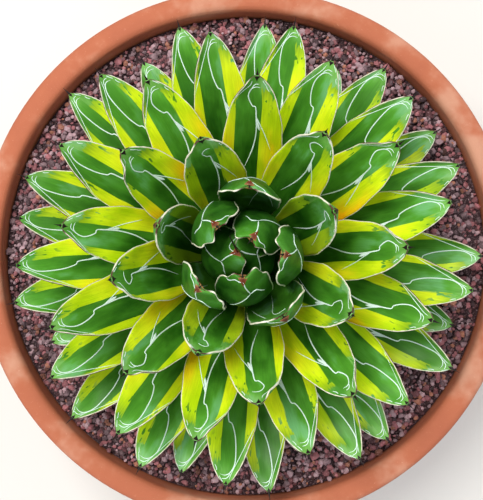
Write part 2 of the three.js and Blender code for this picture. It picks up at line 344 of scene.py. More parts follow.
# For a kind of node: the sockets that a tuple of inputs fills, the output that is given back, and settings.
# The first sockets, the first output and Blender's own settings are left out
NODE_SOCKETS = {
    "Mix": (0, 6, 7),
    "TexNoise": ("Vector", "Scale", "Detail", "Roughness"),
    "HueSaturation": ("Color", "Value"),
    "Bump": ("Height", "Distance"),
}
NODE_OUTPUTS = {"Mix": 2, "Attribute": "Fac", "TexCoord": "Object", "SeparateXYZ": "Z"}
NODE_SETTINGS = {"Mix": {"data_type": "RGBA"}, "MapRange": {"interpolation_type": "SMOOTHSTEP"}}

# Numbers of the materials on a leaf
SKIN, MARGIN, PRINT, HORN = range(4)


def mix(low, high, t):
    return low + (high - low) * t


def ease(low, high, value):
    """0 at low and 1 at high, level at both ends. low may be above high."""
    t = np.clip((value - low) / (high - low), 0, 1)
    return t * t * (3 - 2 * t)


def aged(leaf, change):
    """A share or size on one leaf, from (on young leaves, on old ones, first leaf, last leaf)."""
    young, old, first, last = change
    return mix(young, old, ease(first, last, leaf))


def unit(vectors):
    return vectors / np.linalg.norm(vectors, axis=-1, keepdims=True)


def circle(count):
    """Angles at equal steps all the way round."""
    return np.linspace(0, 2 * np.pi, count, endpoint=False)


def bump(centre, width, value):
    """A bell that is 1 at the centre."""
    return np.exp(-(((value - centre) / width) ** 2))


def wobble(leaf, use):
    """A fixed number between -1 and 1 for each leaf and each use."""
    wave = math.sin(leaf * 12.9898 + use * 78.233) * 43758.5453
    return 2 * (wave - math.floor(wave)) - 1


def stem_radius(height):
    """Half an ellipsoid over the grit, and a tapered stock under it."""
    dome = STEM_RADIUS * np.sqrt(1 - (np.minimum(height, STEM_RISE - 0.001) / STEM_RISE) ** 2)
    return np.where(height < 0, mix(STEM_RADIUS, STOCK_RADIUS, -height / STOCK_DEPTH), dome)


def leaf_rule(leaf, plant):
    """The place and size of one leaf. Each stands a fixed turn on from the last. Its elevation falls off as
    the exponential of a power of its number, and its length as a parabola on either side of the longest
    leaf."""
    young = max(leaf, 0)
    in_bud = max(-leaf, 0)
    in_heart = leaf < HEART_LEAVES
    age = young / (LEAVES - 1)
    from_full = (FULL_LEAF - young) / YOUNG_FADE if leaf < FULL_LEAF else (leaf - FULL_LEAF) / OLD_FADE
    grown = (1 - from_full**2) * (1 - NEWEST_SHORTER * math.exp(-young / SHORTER_LEAVES))
    opened = TOP_ELEVATION * math.exp(-((young / OPENING_LEAVES) ** OPENING_POWER))
    curl = math.exp(-((young / CURLED_LEAVES) ** CURLED_POWER))
    base = mix(HIGHEST_BASE, LOWEST_BASE, age**BASE_POWER)
    out = float(stem_radius(base)) - BUD_INSET * in_bud
    bend = math.radians(OLD_BEND + YOUNG_BEND * curl + (BUD_BEND if in_bud else 0))
    length = plant.leaf_length * grown * (1 + LENGTH_WOBBLE * wobble(leaf, LENGTH_USE))
    length = length * (1 - BUD_SHORTER[in_bud])
    closed = aged(leaf, HEART_CLOSED)
    elevation = math.radians(opened + HEART_LEAN * closed + TILT_WOBBLE * wobble(leaf, TILT_USE))
    if in_bud:
        tip = BUD_TOP_TIP if leaf == -1 else BUD_TIP
        elevation = math.pi / 2 + (out - tip) * bend / (length * math.sin(bend))
    turned = FIRST_AZIMUTH + TURN * leaf + AZIMUTH_WOBBLE * wobble(leaf, AZIMUTH_USE) + HEART_TURN * closed
    taper = [aged(leaf, power) for power in TAPER]
    if in_heart:
        taper = BUD_TAPER if in_bud else HEART_TAPER
    width = plant.half_width * (BUD_WIDER if in_bud else 1)
    narrower = NEWEST_NARROWER * math.exp(-young / NARROWER_LEAVES)
    return SimpleNamespace(
        leaf=leaf,
        plant=plant,
        azimuth=math.radians(turned),
        elevation=elevation,
        bend=bend,
        length=length,
        half_width=width * (1 - narrower) - OLDEST_NARROWER * age,
        taper=taper,
        keel=plant.keel * aged(leaf, KEEL),
        wrap=aged(leaf, WRAP),
        wrap_radius=BUD_WRAP_RADIUS if in_bud else HEART_WRAP_RADIUS,
        base=base,
        out=out,
        in_heart=in_heart,
        top_of_bud=leaf == -1,
        lobes=BUD_LOBES if in_bud else HEART_LOBES,
        spine=plant.spine_length * (BUD_SPINE if leaf == -1 else HEART_SPINE if in_heart else 1),
        flap=plant.flap * aged(leaf, FLAP) * (1 + FLAP_WOBBLE * wobble(leaf, FLAP_USE)),
        fold_start=aged(leaf, FOLD_START),
        fold_slope=aged(leaf, FOLD_SLOPE),
        ripple=plant.ripple * (HEART_RIPPLE if in_heart else 1),
        phase=math.pi * wobble(leaf, RIPPLE_USE),
        unripe=aged(leaf, UNRIPE_SPINE),
    )


def half_width(rule, share, along):
    """Half the width: a neck at the base, then 1 minus a high power of the place along, itself to a power,
    which gives convex sides and a blunt tip. Old leaves are more pointed and heart leaves blunter. A low sine
    wave runs along each side."""
    neck = mix(NECK, 1, ease(*NECK_ALONG, along))
    power, rounding = rule.taper
    taper = np.maximum(0, 1 - np.minimum(1, along / BLADE_END) ** power) ** rounding
    half = rule.half_width * neck * taper * SWELL
    wave = OUTLINE_WAVE * np.sin(along * 31 + rule.phase * np.where(share > 0, 1, 2.3))
    wave = wave * ease(0.2, 0.6, along)
    return np.maximum(SPINE_RADIUS, half * (1 + wave))


def middle_line(rule, along):
    """A circular arc in the upright plane through the axis: distance out, height and slope."""
    start = rule.elevation - rule.bend
    slope = start + 2 * rule.bend * along
    radius = rule.length / (2 * rule.bend)
    out = rule.out + radius * (np.sin(slope) - math.sin(start))
    up = rule.base - radius * (np.cos(slope) - math.cos(start))
    return out, up, slope


def fold_line(rule, from_tip):
    """How far to the left of the middle the blade is level before it turns up: one slope as far as the start
    of the fold, then a steeper one, so that the fold runs out at the margin."""
    past = np.maximum(0, from_tip - rule.fold_start)
    return TIP_FOLD_SLOPE * np.minimum(from_tip, rule.fold_start) + rule.fold_slope * past


def crease(spread, from_tip):
    """1 on the prints of a heart leaf, falling off as the exponential of the distance to the nearest one."""
    nearest = np.full(np.shape(spread), 1.0)
    for line in HEART_PRINTS[:3]:
        for (x, y), (next_x, next_y) in zip(line, line[1:]):
            run, climb = next_x - x, next_y - y
            t = ((spread - x) * run + (from_tip - y) * climb) / (run**2 + climb**2)
            t = np.clip(t, 0, 1)
            nearest = np.minimum(nearest, np.hypot(spread - x - t * run, from_tip - y - t * climb))
    return np.exp(-nearest / CREASE_REACH)


def lobe_reach(rule, spread):
    """How far the lobes carry a heart leaf's end ahead: a sum of bells across it."""
    return sum(ahead * bump(side, width, spread) for ahead, side, width in rule.lobes)


def blade_points(rule, share, along, depth):
    """Points of a leaf, with share from -1 to 1 across it, along from 0 to 1 and depth 0 on the upper face
    and 1 on the lower. The section is a circular arc that wraps round the plant's axis and is slightly
    channelled. The keel's thickness falls off as share to the power 1.5. Ripples, the sum of two sines, and a
    turned-up left margin are added to it."""
    share, along, depth = np.broadcast_arrays(*(np.asarray(each, float) for each in (share, along, depth)))
    half = half_width(rule, share, along)
    from_tip = (1 - along) * rule.length
    spread = share * half
    folds = 0
    if rule.in_heart:
        folds = -CREASE_HEIGHT * crease(spread, from_tip)
        along = along + lobe_reach(rule, spread) / rule.length * ease(*LOBES_FROM_TIP, from_tip)
    beyond = np.maximum(0, spread - fold_line(rule, from_tip))
    beyond = np.sqrt(beyond**2 + FLAP_ROUNDING**2) - FLAP_ROUNDING
    flap = rule.flap * beyond * ease(*FLAP_FROM_TIP, from_tip)
    spread = spread - FLAP_GATHER * flap
    out, up, slope = middle_line(rule, along)
    curve = rule.wrap * np.sin(slope) / np.maximum(out, rule.wrap_radius)
    curve = curve + CHANNEL / np.maximum(half, CHANNEL_WIDTH) * ease(*CHANNEL_ALONG, along)
    turn = spread * curve
    margin = mix(MARGIN_AT_BASE, MARGIN_AT_TIP, along)
    keel = mix(rule.keel, TIP_KEEL * rule.keel, along) * np.minimum(1, half / FULL_KEEL_WIDTH)
    keel = np.maximum(2 * SPINE_RADIUS, keel)
    thick = margin + (keel - margin) * (1 - np.abs(share) ** KEEL_POWER)
    above = mix(BASE_ABOVE, TIP_ABOVE, ease(*ABOVE_ALONG, along))
    waves = sum(np.sin(along * ahead + share * side + part * rule.phase) for ahead, side, part in RIPPLES)
    lift = rule.ripple * waves * ease(*RIPPLES_ALONG, along) * ease(*RIPPLES_FROM_TIP, from_tip)
    rise = (1 - np.cos(turn)) / curve + thick * (above - depth) + lift + flap + folds
    return on_azimuth(rule, out - rise * np.sin(slope), np.sin(turn) / curve, up + rise * np.cos(slope))


def on_azimuth(rule, away, side, up):
    """Points from their distance out along a leaf, to its left, and up from the grit."""
    cos, sin = math.cos(rule.azimuth), math.sin(rule.azimuth)
    return np.stack([away * cos - side * sin, away * sin + side * cos, up + GRIT_LEVEL], axis=-1)


def onto_stem(points):
    """Moves points in or out along their radius until they lie just off the stem."""
    angle = np.arctan2(points[..., 1], points[..., 0])
    on_stem = stem_radius(points[..., 2] - GRIT_LEVEL)
    radius = on_stem + GAP + FOOT_CLEARANCE / on_stem
    return np.stack([radius * np.cos(angle), radius * np.sin(angle), points[..., 2]], axis=-1)


def grid_triangles(rows, columns):
    """Triangles of a tube of rows of points, each row closed on itself."""
    row = np.arange(rows - 1)[:, None] * columns
    column = np.arange(columns)[None, :]
    a, b = row + column, row + (column + 1) % columns
    c, d = b + columns, a + columns
    return np.concatenate([np.stack([a, b, c], -1).reshape(-1, 3), np.stack([a, c, d], -1).reshape(-1, 3)])


def fan_triangles(ring, tip):
    """Triangles from a closed ring of point numbers to one point."""
    return np.stack([ring, np.roll(ring, -1), np.full(len(ring), tip)], -1)


def closed_tube(rings):
    """A tube through rings of points, closed by a fan to the middle of each end ring, faces outward."""
    rows, columns = rings.shape[:2]
    points = np.concatenate([rings.reshape(-1, 3), rings[0].mean(0)[None], rings[-1].mean(0)[None]])
    end = np.arange(columns)
    fans = [
        fan_triangles(end[::-1], rows * columns),
        fan_triangles(end + (rows - 1) * columns, rows * columns + 1),
    ]
    return points, outward(points, np.concatenate([grid_triangles(rows, columns), *fans]))


def outward(points, triangles):
    """Turns the triangles of a closed shell round where they enclose a negative volume."""
    a, b, c = (points[triangles[:, i]] - points.mean(0) for i in range(3))
    volume = np.einsum("ij,ij->i", a, np.cross(b, c)).sum()
    return triangles if volume > 0 else triangles[:, ::-1]


def with_ends(values, shape):
    """Values for the points of a closed tube: those of its rings, then of the middles of its two ends."""
    rings = np.broadcast_to(values, shape)
    return np.concatenate([rings.ravel(), [rings[0].mean(), rings[-1].mean()]])


def shell(rings, material, across, away, values):
    """One closed tube as a part of a piece: the number of its material, its two map coordinates in metres and
    its values, each spread over its points."""
    shape = rings.shape[:2]
    points, triangles = closed_tube(rings)
    part = {"points": points, "triangles": triangles, "material": material, "smooth": True}
    part["values"] = {key: with_ends(value, shape) for key, value in values.items()}
    part["uv"] = np.stack([with_ends(across, shape), with_ends(away, shape)], -1)
    return part


def add_object(name, data):
    """A new object in the scene."""
    added = bpy.data.objects.new(name, data)
    bpy.context.scene.collection.objects.link(added)
    return added


def make_piece(name, parts, materials):
    """One mesh object from closed parts. Each part has points, triangles, the number of its material, smooth
    or flat shading, and values for its points, which become attributes. uv is kept as the UV map "blade"."""
    counts = np.cumsum([0] + [len(part["points"]) for part in parts])
    points = np.concatenate([part["points"] for part in parts])
    triangles = np.concatenate([part["triangles"] + start for part, start in zip(parts, counts)])
    mesh = bpy.data.meshes.new(name)
    mesh.vertices.add(len(points))
    mesh.vertices.foreach_set("co", points.astype(np.float32).ravel())
    mesh.loops.add(triangles.size)
    mesh.loops.foreach_set("vertex_index", triangles.astype(np.int32).ravel())
    mesh.polygons.add(len(triangles))
    mesh.polygons.foreach_set("loop_start", np.arange(0, triangles.size, 3, dtype=np.int32))
    for key, kind in (("material", "material_index"), ("smooth", "use_smooth")):
        each = [np.full(len(part["triangles"]), part[key]) for part in parts]
        mesh.polygons.foreach_set(kind, np.concatenate(each))
    for key in sorted({key for part in parts for key in part["values"]}):
        each = [np.broadcast_to(part["values"].get(key, 0.0), len(part["points"])) for part in parts]
        layer = mesh.attributes.new(key, "FLOAT", "POINT")
        layer.data.foreach_set("value", np.concatenate(each).astype(np.float32))
    if all("uv" in part for part in parts):
        across = np.concatenate([part["uv"] for part in parts])[triangles.ravel()]
        mesh.uv_layers.new(name="blade").data.foreach_set("uv", across.astype(np.float32).ravel())
    mesh.update(calc_edges=True)
    for material in materials:
        mesh.materials.append(material)
    piece = add_object(name, mesh)
    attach(piece, "root")
    return piece


def linear(code):
    """An sRGB hex colour as linear red, green, blue and full alpha."""
    channels = [int(code[i:i + 2], 16) / 255 for i in (1, 3, 5)]
    return [c / 12.92 if c <= 0.04045 else ((c + 0.055) / 1.055) ** 2.4 for c in channels] + [1.0]


def add_node(tree, kind, inputs=(), **settings):
    """Adds a shader node, sets or links its inputs, and gives back its output. An operation may follow the
    kind. The inputs are a tuple in the order of the sockets, or a dictionary by socket."""
    kind, _, operation = kind.partition(" ")
    node = tree.nodes.new("ShaderNode" + kind)
    if operation:
        node.operation = operation
    for key, value in {**NODE_SETTINGS.get(kind, {}), **settings}.items():
        setattr(node, key, value)
    if isinstance(inputs, tuple):
        inputs = dict(zip(NODE_SOCKETS.get(kind, range(len(inputs))), inputs))
    for key, value in inputs.items():
        if isinstance(value, bpy.types.NodeSocket):
            tree.links.new(value, node.inputs[key])
        else:
            node.inputs[key].default_value = value
    return node.outputs[NODE_OUTPUTS.get(kind, 0)] if node.outputs else None


def make_material(name, surface, *colours):
    """A material whose shader takes the inputs that a surface function works out with nodes."""
    material = bpy.data.materials.new(name)
    material.use_nodes = True
    material.node_tree.nodes.clear()
    add = partial(add_node, material.node_tree)
    add("OutputMaterial", {"Surface": add("BsdfPrincipled", surface(add, *colours))})
    return material


def blade_pattern(add, across, along, detail=2.0):
    """Noise on the leaf's own map, shifted for each leaf. Its unit has a real width and length in metres."""
    scaled = add("VectorMath MULTIPLY", (add("UVMap", uv_map="blade"), (1 / across, 1 / along, 0)))
    shift = add("Math MULTIPLY", (add("Attribute", attribute_name="leaf"), 7.31))
    place = add("VectorMath ADD", (scaled, add("CombineXYZ", {"Z": shift})))
    return add("TexNoise", (place, 1.0, detail))


def leaf_skin(add, skin):
    """Agave leaf, grown: a waxy cuticle over fibres that run along the blade, so the satin gloss is broken up
    lengthwise. The dark band, the yellow margins and the green tip meet in jagged streaks."""
    keys = ("from_tip", "band_edge", "yellow_room", "warm", "unripe", "underside", "tone")
    fields = (add("Attribute", attribute_name=key) for key in keys)
    from_tip, band_edge, yellow_room, warm, unripe, underside, tone = fields
    # Real streaks and fibres are 0.2 mm wide and are drawn coarser, so that they show
    streaks = blade_pattern(add, 0.0013, 0.022, 3)
    long_streaks = blade_pattern(add, 0.0021, 0.05, 2)
    cloud = blade_pattern(add, 0.012, 0.035, 3)
    fibres = blade_pattern(add, 0.0006, 0.014, 2)
    flecks = blade_pattern(add, 0.0022, 0.0072, 1)

    ragged = add("Math MULTIPLY_ADD", (long_streaks, 3.4, -1.7))
    in_band = add("MapRange", (add("Math ADD", (band_edge, ragged)), -0.18, 0.22))
    torn = add("Math MULTIPLY_ADD", (streaks, 16.0, yellow_room))
    near_yellow = add("MapRange", (yellow_room, 24.0, 8.0))
    fleck = add("Math MULTIPLY", (add("MapRange", (flecks, 0.63, 0.655)), near_yellow))
    light = add("Math MULTIPLY", (add("Math SUBTRACT", (1.0, in_band)), add("Math SUBTRACT", (1.0, fleck))))

    blotch = add("MapRange", (cloud, 0.34, 0.66))
    # The band is painted darker towards the foot: painted shade where the leaves overlap and shade each other
    deep = add("MapRange", (from_tip, 64.0, 14.0, 0.0, 0.58), interpolation_type="LINEAR")
    deep = add("Math MULTIPLY_ADD", (blotch, 0.45, deep))
    band = add("Mix", (deep, skin.band_dark, skin.band_light))
    tip = add("Mix", (blotch, skin.tip_dark, skin.tip_light))
    near_tip = add("MapRange", (from_tip, 20.0, 5.0))
    green = add("Mix", (add("Math MAXIMUM", (near_tip, light)), band, tip))
    # Pale blue-green patches near the tip: partly wax bloom, partly a painted sheen that stands for the sky's
    # reflection
    painted_sheen_film = add("MapRange", (cloud, 0.52, 0.68, 0.0, 0.5))
    painted_sheen_film = add("Math MULTIPLY", (painted_sheen_film, add("MapRange", (from_tip, 58.0, 22.0))))
    green = add("Mix", (painted_sheen_film, green, skin.painted_sheen_film))

    lime = add("Mix", (blotch, skin.lime, skin.yellow))
    margin = add("Mix", (add("MapRange", (torn, 7.0, 22.0)), skin.olive, lime))
    sunned = add("Math MULTIPLY", (warm, add("MapRange", (cloud, 0.36, 0.62, 0.35, 1.25))))
    margin = add("Mix", (sunned, margin, skin.warm))
    margin = add("Mix", (unripe, margin, skin.unripe))

    in_yellow = add("Math MULTIPLY", (add("MapRange", (torn, 7.2, 9.2)), light))
    colour = add("Mix", (in_yellow, green, margin))
    # The value follows the fibres and each leaf's tone; the heart's lower tone is painted shade
    shade = add("Math MULTIPLY", (add("Math MULTIPLY_ADD", (fibres, 0.4, 0.8)), tone))
    colour = add("HueSaturation", (colour, shade))
    return {
        "Base Color": add("Mix", (add("Math MULTIPLY", (underside, 0.35)), colour, skin.underside)),
        "Roughness": add("Math MULTIPLY_ADD", (cloud, 0.16, 0.35)),
        "IOR": 1.45,
        "Normal": add("Bump", (fibres, 0.00012)),
        "Specular IOR Level": 0.28,
        "Coat Weight": 0.05,
        "Coat Roughness": 0.25,
    }


def margin_horn(add, skin):
    """Leaf margin, grown: a horny rim that has dried to ivory, worn brown at the tip. On its outer, lower
    edge, and more so further from the tip, the brown is partly worn horn and partly painted shade."""
    worn = blade_pattern(add, 0.004, 0.006, 3.0)
    keys = ("outer", "from_tip", "unripe")
    outer, from_tip, unripe = (add("Attribute", attribute_name=key) for key in keys)
    browner_from_tip = add("MapRange", (from_tip, 12.0, 50.0, 0.0, 0.18), interpolation_type="LINEAR")
    outer = add("Math ADD", (add("Math MULTIPLY_ADD", (worn, 0.6, outer)), browner_from_tip))
    at_tip = add("MapRange", (from_tip, 7.0, 3.5))
    brown = add("Math MAXIMUM", (add("MapRange", (outer, 1.04, 1.26)), at_tip))
    ivory = add("Mix", (worn, skin.horn_shade, skin.horn))
    dry = add("Mix", (unripe, skin.horn_brown_and_shade, skin.spine_red))
    colour = add("Mix", (brown, ivory, dry))
    return {"Base Color": colour, "Roughness": 0.55, "Normal": add("Bump", (worn, 0.0002))}


def bud_print(add, skin):
    """Bud print: the white, slightly raised wax line that the margin of the next leaf left in the tight
    bud. Its faint blue-green tint is a painted reflection of the sky."""
    patchy = blade_pattern(add, 0.0015, 0.003, 3.0)
    return {"Base Color": add("Mix", (patchy, skin.print_shade, skin.print_light)), "Roughness": 0.5}


def spine_horn(add, skin):
    """Terminal spine, grown: hard horn, nearly black on old leaves and red-brown at its foot on the
    youngest."""
    foot, rim, unripe = (add("Attribute", attribute_name=key) for key in ("foot", "rim", "unripe"))
    red = add("Mix", (blade_pattern(add, 0.0008, 0.003), skin.spine_red, skin.spine_amber))
    colour = add("Mix", (add("Math MULTIPLY", (foot, unripe)), skin.spine, red))
    colour = add("Mix", (add("Math MULTIPLY", (rim, unripe)), colour, skin.cap_rim))
    return {"Base Color": colour, "Roughness": 0.5, "Specular IOR Level": 0.25}


def crushed_stone(add, light, dark, powder):
    """Crushed lava, quarried and graded: open-grained rock with chipped faces, so it is dull, each stone its
    own shade, and powder lies in its pores. Real pores are 0.3 mm across and are drawn coarser, so that they
    show."""
    place = add("TexCoord")
    grain = add("TexNoise", (place, 1 / 0.0011, 3.0, 0.65))
    patch = add("Math MULTIPLY", (add("TexNoise", (place, 1 / 0.05)), 0.35))
    tone = add("Math MULTIPLY_ADD", (add("Attribute", attribute_name="shade"), 0.80, patch))
    colour = add("Mix", (tone, dark, light))
    colour = add("Mix", (add("MapRange", (grain, 0.5, 0.75, 0.0, 0.45)), colour, powder))
    return {"Base Color": colour, "Roughness": 0.88, "Normal": add("Bump", (grain, 0.0006))}


def terracotta(add, bowl):
    """Terracotta, thrown and fired without glaze: a dry orange body with fine throwing lines round it, and
    pale salts that wicked out at the foot and the rim. Real grog is 0.5 mm across and real throwing lines are
    1 mm apart. Both are drawn coarser, so that they show."""
    place = add("TexCoord")
    height = add("SeparateXYZ", (place,))
    cloud = add("TexNoise", (place, 1 / 0.045, 4, 0.6))
    grain = add("TexNoise", (place, 1 / 0.0016, 3, 0.7))
    # Throwing lines 2.4 mm apart that run 110 mm round before they change
    rings = add("TexNoise", (add("VectorMath MULTIPLY", (place, (9.0, 9.0, 420.0))), 1.0, 3, 0.6))
    clay = add("Mix", (cloud, bowl.clay_dark, bowl.clay))
    clay = add("Mix", (add("MapRange", (grain, 0.62, 0.74, 0.0, 0.35)), clay, bowl.clay_speck))
    low = add("MapRange", (height, 0.050, 0.0, 0.0, 0.55))
    high = add("MapRange", (height, 0.150, 0.172, 0.0, 0.4))
    stain = add("MapRange", (cloud, 0.45, 0.68))
    stain = add("Math MULTIPLY", (stain, add("Math MAXIMUM", (low, high))))
    relief = add("Bump", (add("Math MULTIPLY_ADD", (grain, 0.45, rings)), 0.0005))
    return {"Base Color": add("Mix", (stain, clay, bowl.salts)), "Roughness": 0.82, "Normal": relief}


def potting_soil(add, filling):
    """Potting soil, mixed: dark peat crumbs with white specks of perlite."""
    place = add("TexCoord")
    crumbs = add("TexNoise", (place, 1 / 0.003, 4.0, 0.7))
    specks = add("MapRange", (add("TexNoise", (place, 1 / 0.005, 1.0)), 0.72, 0.74))
    soil = add("Mix", (crumbs, filling.soil_dark, filling.soil))
    colour = add("Mix", (specks, soil, filling.perlite))
    return {"Base Color": colour, "Roughness": 0.95, "Normal": add("Bump", (crumbs, 0.002))}


def scarred_stem(add, filling):
    """Agave stem, grown: pale fibrous tissue, ringed by the scars of old leaves."""
    # Scars 2 mm apart that run 17 mm round before they change
    flat = add("VectorMath MULTIPLY", (add("TexCoord"), (60.0, 60.0, 480.0)))
    scars = add("TexNoise", (flat, 1.0, 3.0))
    colour = add("Mix", (scars, filling.scar, filling.stem))
    return {"Base Color": colour, "Roughness": 0.7, "Normal": add("Bump", (scars, 0.001))}


def floor_paint(add, stage):
    """Studio floor: matt pale paint with no pattern that shows."""
    cloud = add("TexNoise", (add("TexCoord"), 1.5))
    return {"Base Color": add("Mix", (cloud, stage.floor, stage.floor_light)), "Roughness": 0.9}


def print_lines(rule):
    """The prints on a leaf as (middle line, half widths, face). A middle line has (side, distance from the
    tip) pairs in metres, side positive to the left of a leaf seen tip up."""
    leaf = rule.leaf
    if rule.in_heart:
        lines = (HEART_INNER_PRINTS if leaf > 3 else (), HEART_PRINTS)
        return [(line, HEART_PRINT_WIDTHS[face], face) for face in (1, 0) for line in lines[face]]
    shift = 0.0008 * wobble(leaf, LINE_USE)
    top = aged(leaf, PRINT_TOP) - aged(leaf, OLD_PRINT_TOP)
    knee = aged(leaf, PRINT_KNEE) + 0.0030 * wobble(leaf, KNEE_USE)
    bow = aged(leaf, PRINT_BOW) * (1 + 0.2 * wobble(leaf, BOW_USE))
    loop = knee - top
    early = aged(leaf, PRINT_EARLY)
    main = [
        (-0.8 * bow, top + 0.0004), (-0.1 * bow, top), (0.55 * bow, top + 0.25 * early * loop),
        (bow, top + early * loop), (0.8 * bow, top + 0.66 * loop), (0.25 * bow, top + 0.92 * loop),
        (-0.3 * bow, knee), (-0.55 * bow, knee + 0.011), (-0.65 * bow, knee + 0.020),
        (-0.4 * bow, knee + 0.031), (0.2 * bow, knee + 0.041), (bow, knee + 0.051),
    ]
    wedge = [(-0.32 * bow, knee + 0.002), (-0.62 * bow, knee + 0.010), (-0.0045, knee + 0.0185)]
    right = [(-0.5 * bow, knee + 0.007), (-0.0048, knee + 0.014), (-0.0078, knee + 0.021)]
    right.append((-0.0125, knee + 0.034))
    hook = [(0.5 * bow, top + 0.0010), (0.05 * bow, top - 0.0020), (-0.6 * bow, top - 0.0024)]
    reach = np.array([-0.005, 0, 0.008, 0.020, 0.034]) * aged(leaf, FOLD_PRINT) + rule.fold_start
    left = np.stack([fold_line(rule, reach) - 0.0002, reach], -1)
    edges = []
    for start in (0.0055 + 2 * shift, 0.0125 - 2 * shift):
        reach = start + np.array([0, 0.0016, 0.0042])
        inset = np.array([0.86, 0.80, 0.84])
        edges.append(np.stack([-half_width(rule, -1.0, 1 - reach / rule.length) * inset, reach], -1))
    # Each print with its half width at either end, and the first leaf that has it
    prints = (
        (main, 0.00034, 0.00048, 0), (wedge, 0.0002, 0.0011, 0), (right, 0.0004, 0.00025, 0),
        (left, 0.00022, 0.00028, 11), *((edge, 0.00028, 0.00020, 0) for edge in edges),
        (hook, 0.00030, 0.00022, 15),
    )
    return [
        (np.add(line, (shift, 0)), (first, last), 0) for line, first, last, since in prints if leaf >= since
    ]


def smooth_line(corners, steps):
    """A Catmull-Rom curve through the corners: each stretch is a cubic whose end slopes are half the way
    between the corners on either side."""
    corners = np.asarray(corners, float)
    padded = np.concatenate([[2 * corners[0] - corners[1]], corners, [2 * corners[-1] - corners[-2]]])
    place = np.linspace(0, len(corners) - 1, steps)
    stretch = np.minimum(place.astype(int), len(corners) - 2)
    t = (place - stretch)[:, None]
    a, b, c, d = (padded[stretch + i] for i in range(4))
    return 0.5 * (2 * b + (c - a) * t + (2 * a - 5 * b + 4 * c - d) * t**2 + (3 * b - a - 3 * c + d) * t**3)


def print_part(rule, corners, widths, face):
    """A print: a thin strip along a smooth line on the blade, sunk a little at its edges and raised in the
    middle, that narrows to nothing at both ends."""
    steps = PRINT_STEPS * (len(corners) - 1) + 1
    line = smooth_line(corners, steps)
    ends = np.gradient(line, axis=0)
    normal = unit(np.stack([ends[:, 1], -ends[:, 0]], -1))
    t = np.linspace(0, 1, steps)
    half = mix(*widths, t) * np.minimum(1, PRINT_END + PRINT_END_SLOPE * np.minimum(t, 1 - t))
    rows = []
    for across, rise in PRINT_SECTION:
        spot = line + normal * (half * across)[:, None]
        along = 1 - spot[:, 1] / rule.length
        width = half_width(rule, np.sign(spot[:, 0]), along)
        share = np.clip(spot[:, 0] / width, -0.97, 0.97)
        rows.append(raised(rule, share, along, face, rise * rule.plant.print_height))
    return shell(np.stack(rows, axis=1), PRINT, line[:, :1], line[:, 1:], {"leaf": rule.leaf})


def raised(rule, share, along, face, height):
    """Points at a height over one face of a blade, along its normal, which is worked out from small steps
    across and along it."""
    step = 0.004
    here = blade_points(rule, share, along, face)
    across = blade_points(rule, share + step, along, face) - blade_points(rule, share - step, along, face)
    ahead = blade_points(rule, share, along + step, face) - blade_points(rule, share, along - step, face)
    normal = np.cross(across, ahead)
    off = (normal * (here - blade_points(rule, share, along, 1 - face))).sum(-1)
    return here + unit(normal) * np.sign(off)[..., None] * height


def blade_values(rule, share, along, width):
    """Fields that the skin's pattern reads. The first three are in millimetres: the distance from the tip,
    how far inside the dark band a point lies, and how far past the start of the yellow. In the heart the
    first is stretched and carried ahead by the lobes, so that a leaf darkens quickly away from its tip,
    painted shade, and its bulging lobes are lighter, partly paler unripe tissue and partly painted light.
    Then how warm and how unripe the yellow is, and how light the whole leaf is; the heart's leaves are
    darker, painted shade."""
    leaf = rule.leaf
    from_tip = (1 - along) * rule.length * MILLIMETRES
    side = share * width * MILLIMETRES
    left = aged(leaf, BAND_LEFT) + BAND_WOBBLE * wobble(leaf, BAND_USE)
    right = aged(leaf, BAND_RIGHT) + BAND_WOBBLE * wobble(leaf, RIGHT_BAND_USE)
    full = rule.half_width * MILLIMETRES
    taper = np.minimum(1, width * MILLIMETRES / (BAND_NARROWS * full))
    band_edge = np.minimum(left * full * taper - side, side - right * full * taper)
    late = wobble(leaf, YELLOW_USE)
    young = aged(leaf, YELLOW_LATER)
    starts = (usual + varies * late + further * young for usual, varies, further in YELLOW_START)
    start = np.where(side > 0, *starts)
    if rule.in_heart:
        start = start + HEART_YELLOW_LATER
        band_edge = HEART_BAND_EDGE
        stretch, ahead, by_lobes = HEART_PATTERN
        from_tip = stretch * from_tip + ahead - by_lobes * lobe_reach(rule, share * width)
    warm = ease(*SUNNED, from_tip) * ease(*SUNNED_ACROSS, np.abs(share)) * np.where(share < 0, 1, SUNNED_LEFT)
    return {
        "from_tip": from_tip,
        "band_edge": band_edge,
        "yellow_room": from_tip - start,
        "warm": warm * (WARMTH[0] + WARMTH[1] * wobble(leaf, WARM_USE)),
        "unripe": aged(leaf, UNRIPE_YELLOW),
        "tone": (HEART_PAINTED_SHADE if rule.in_heart else 1) + TONE_WOBBLE * wobble(leaf, TONE_USE),
    }


def blade_part(rule):
    """The blade as one closed surface: on each row the points of the upper face, then back under them those
    of the lower one, with the rows closer together towards the tip, as the sine of a quarter turn."""
    tops, unders = HEART_COLUMNS if rule.in_heart else OPEN_COLUMNS
    along = BLADE_END * np.sin(0.5 * np.pi * np.linspace(0, 1, LEAF_ROWS))[:, None]
    share = np.concatenate([np.linspace(-1, 1, tops), np.linspace(1, -1, unders)])[None, :]
    depth = np.concatenate([np.zeros(tops), np.ones(unders)])[None, :]
    rings = blade_points(rule, share, along, depth)
    if not rule.in_heart:
        moved = onto_stem(rings[0]) - rings[0]
        rings = rings + moved[None] * np.maximum(0, 1 - along / FOOT_SHARE)[..., None]
    width = half_width(rule, share, along)
    values = blade_values(rule, *np.broadcast_arrays(share, along, width))
    values |= {"underside": depth * (0.3 if rule.in_heart else 1), "leaf": rule.leaf}
    away = values["from_tip"] / MILLIMETRES
    # The upper faces of heart leaves lie in shade; they take the lighter colours near the tip, which is
    # painted light
    if rule.in_heart:
        values["from_tip"] = values["from_tip"] * (0.12 + 0.88 * depth)
    return shell(rings, SKIN, share * width, away, values)


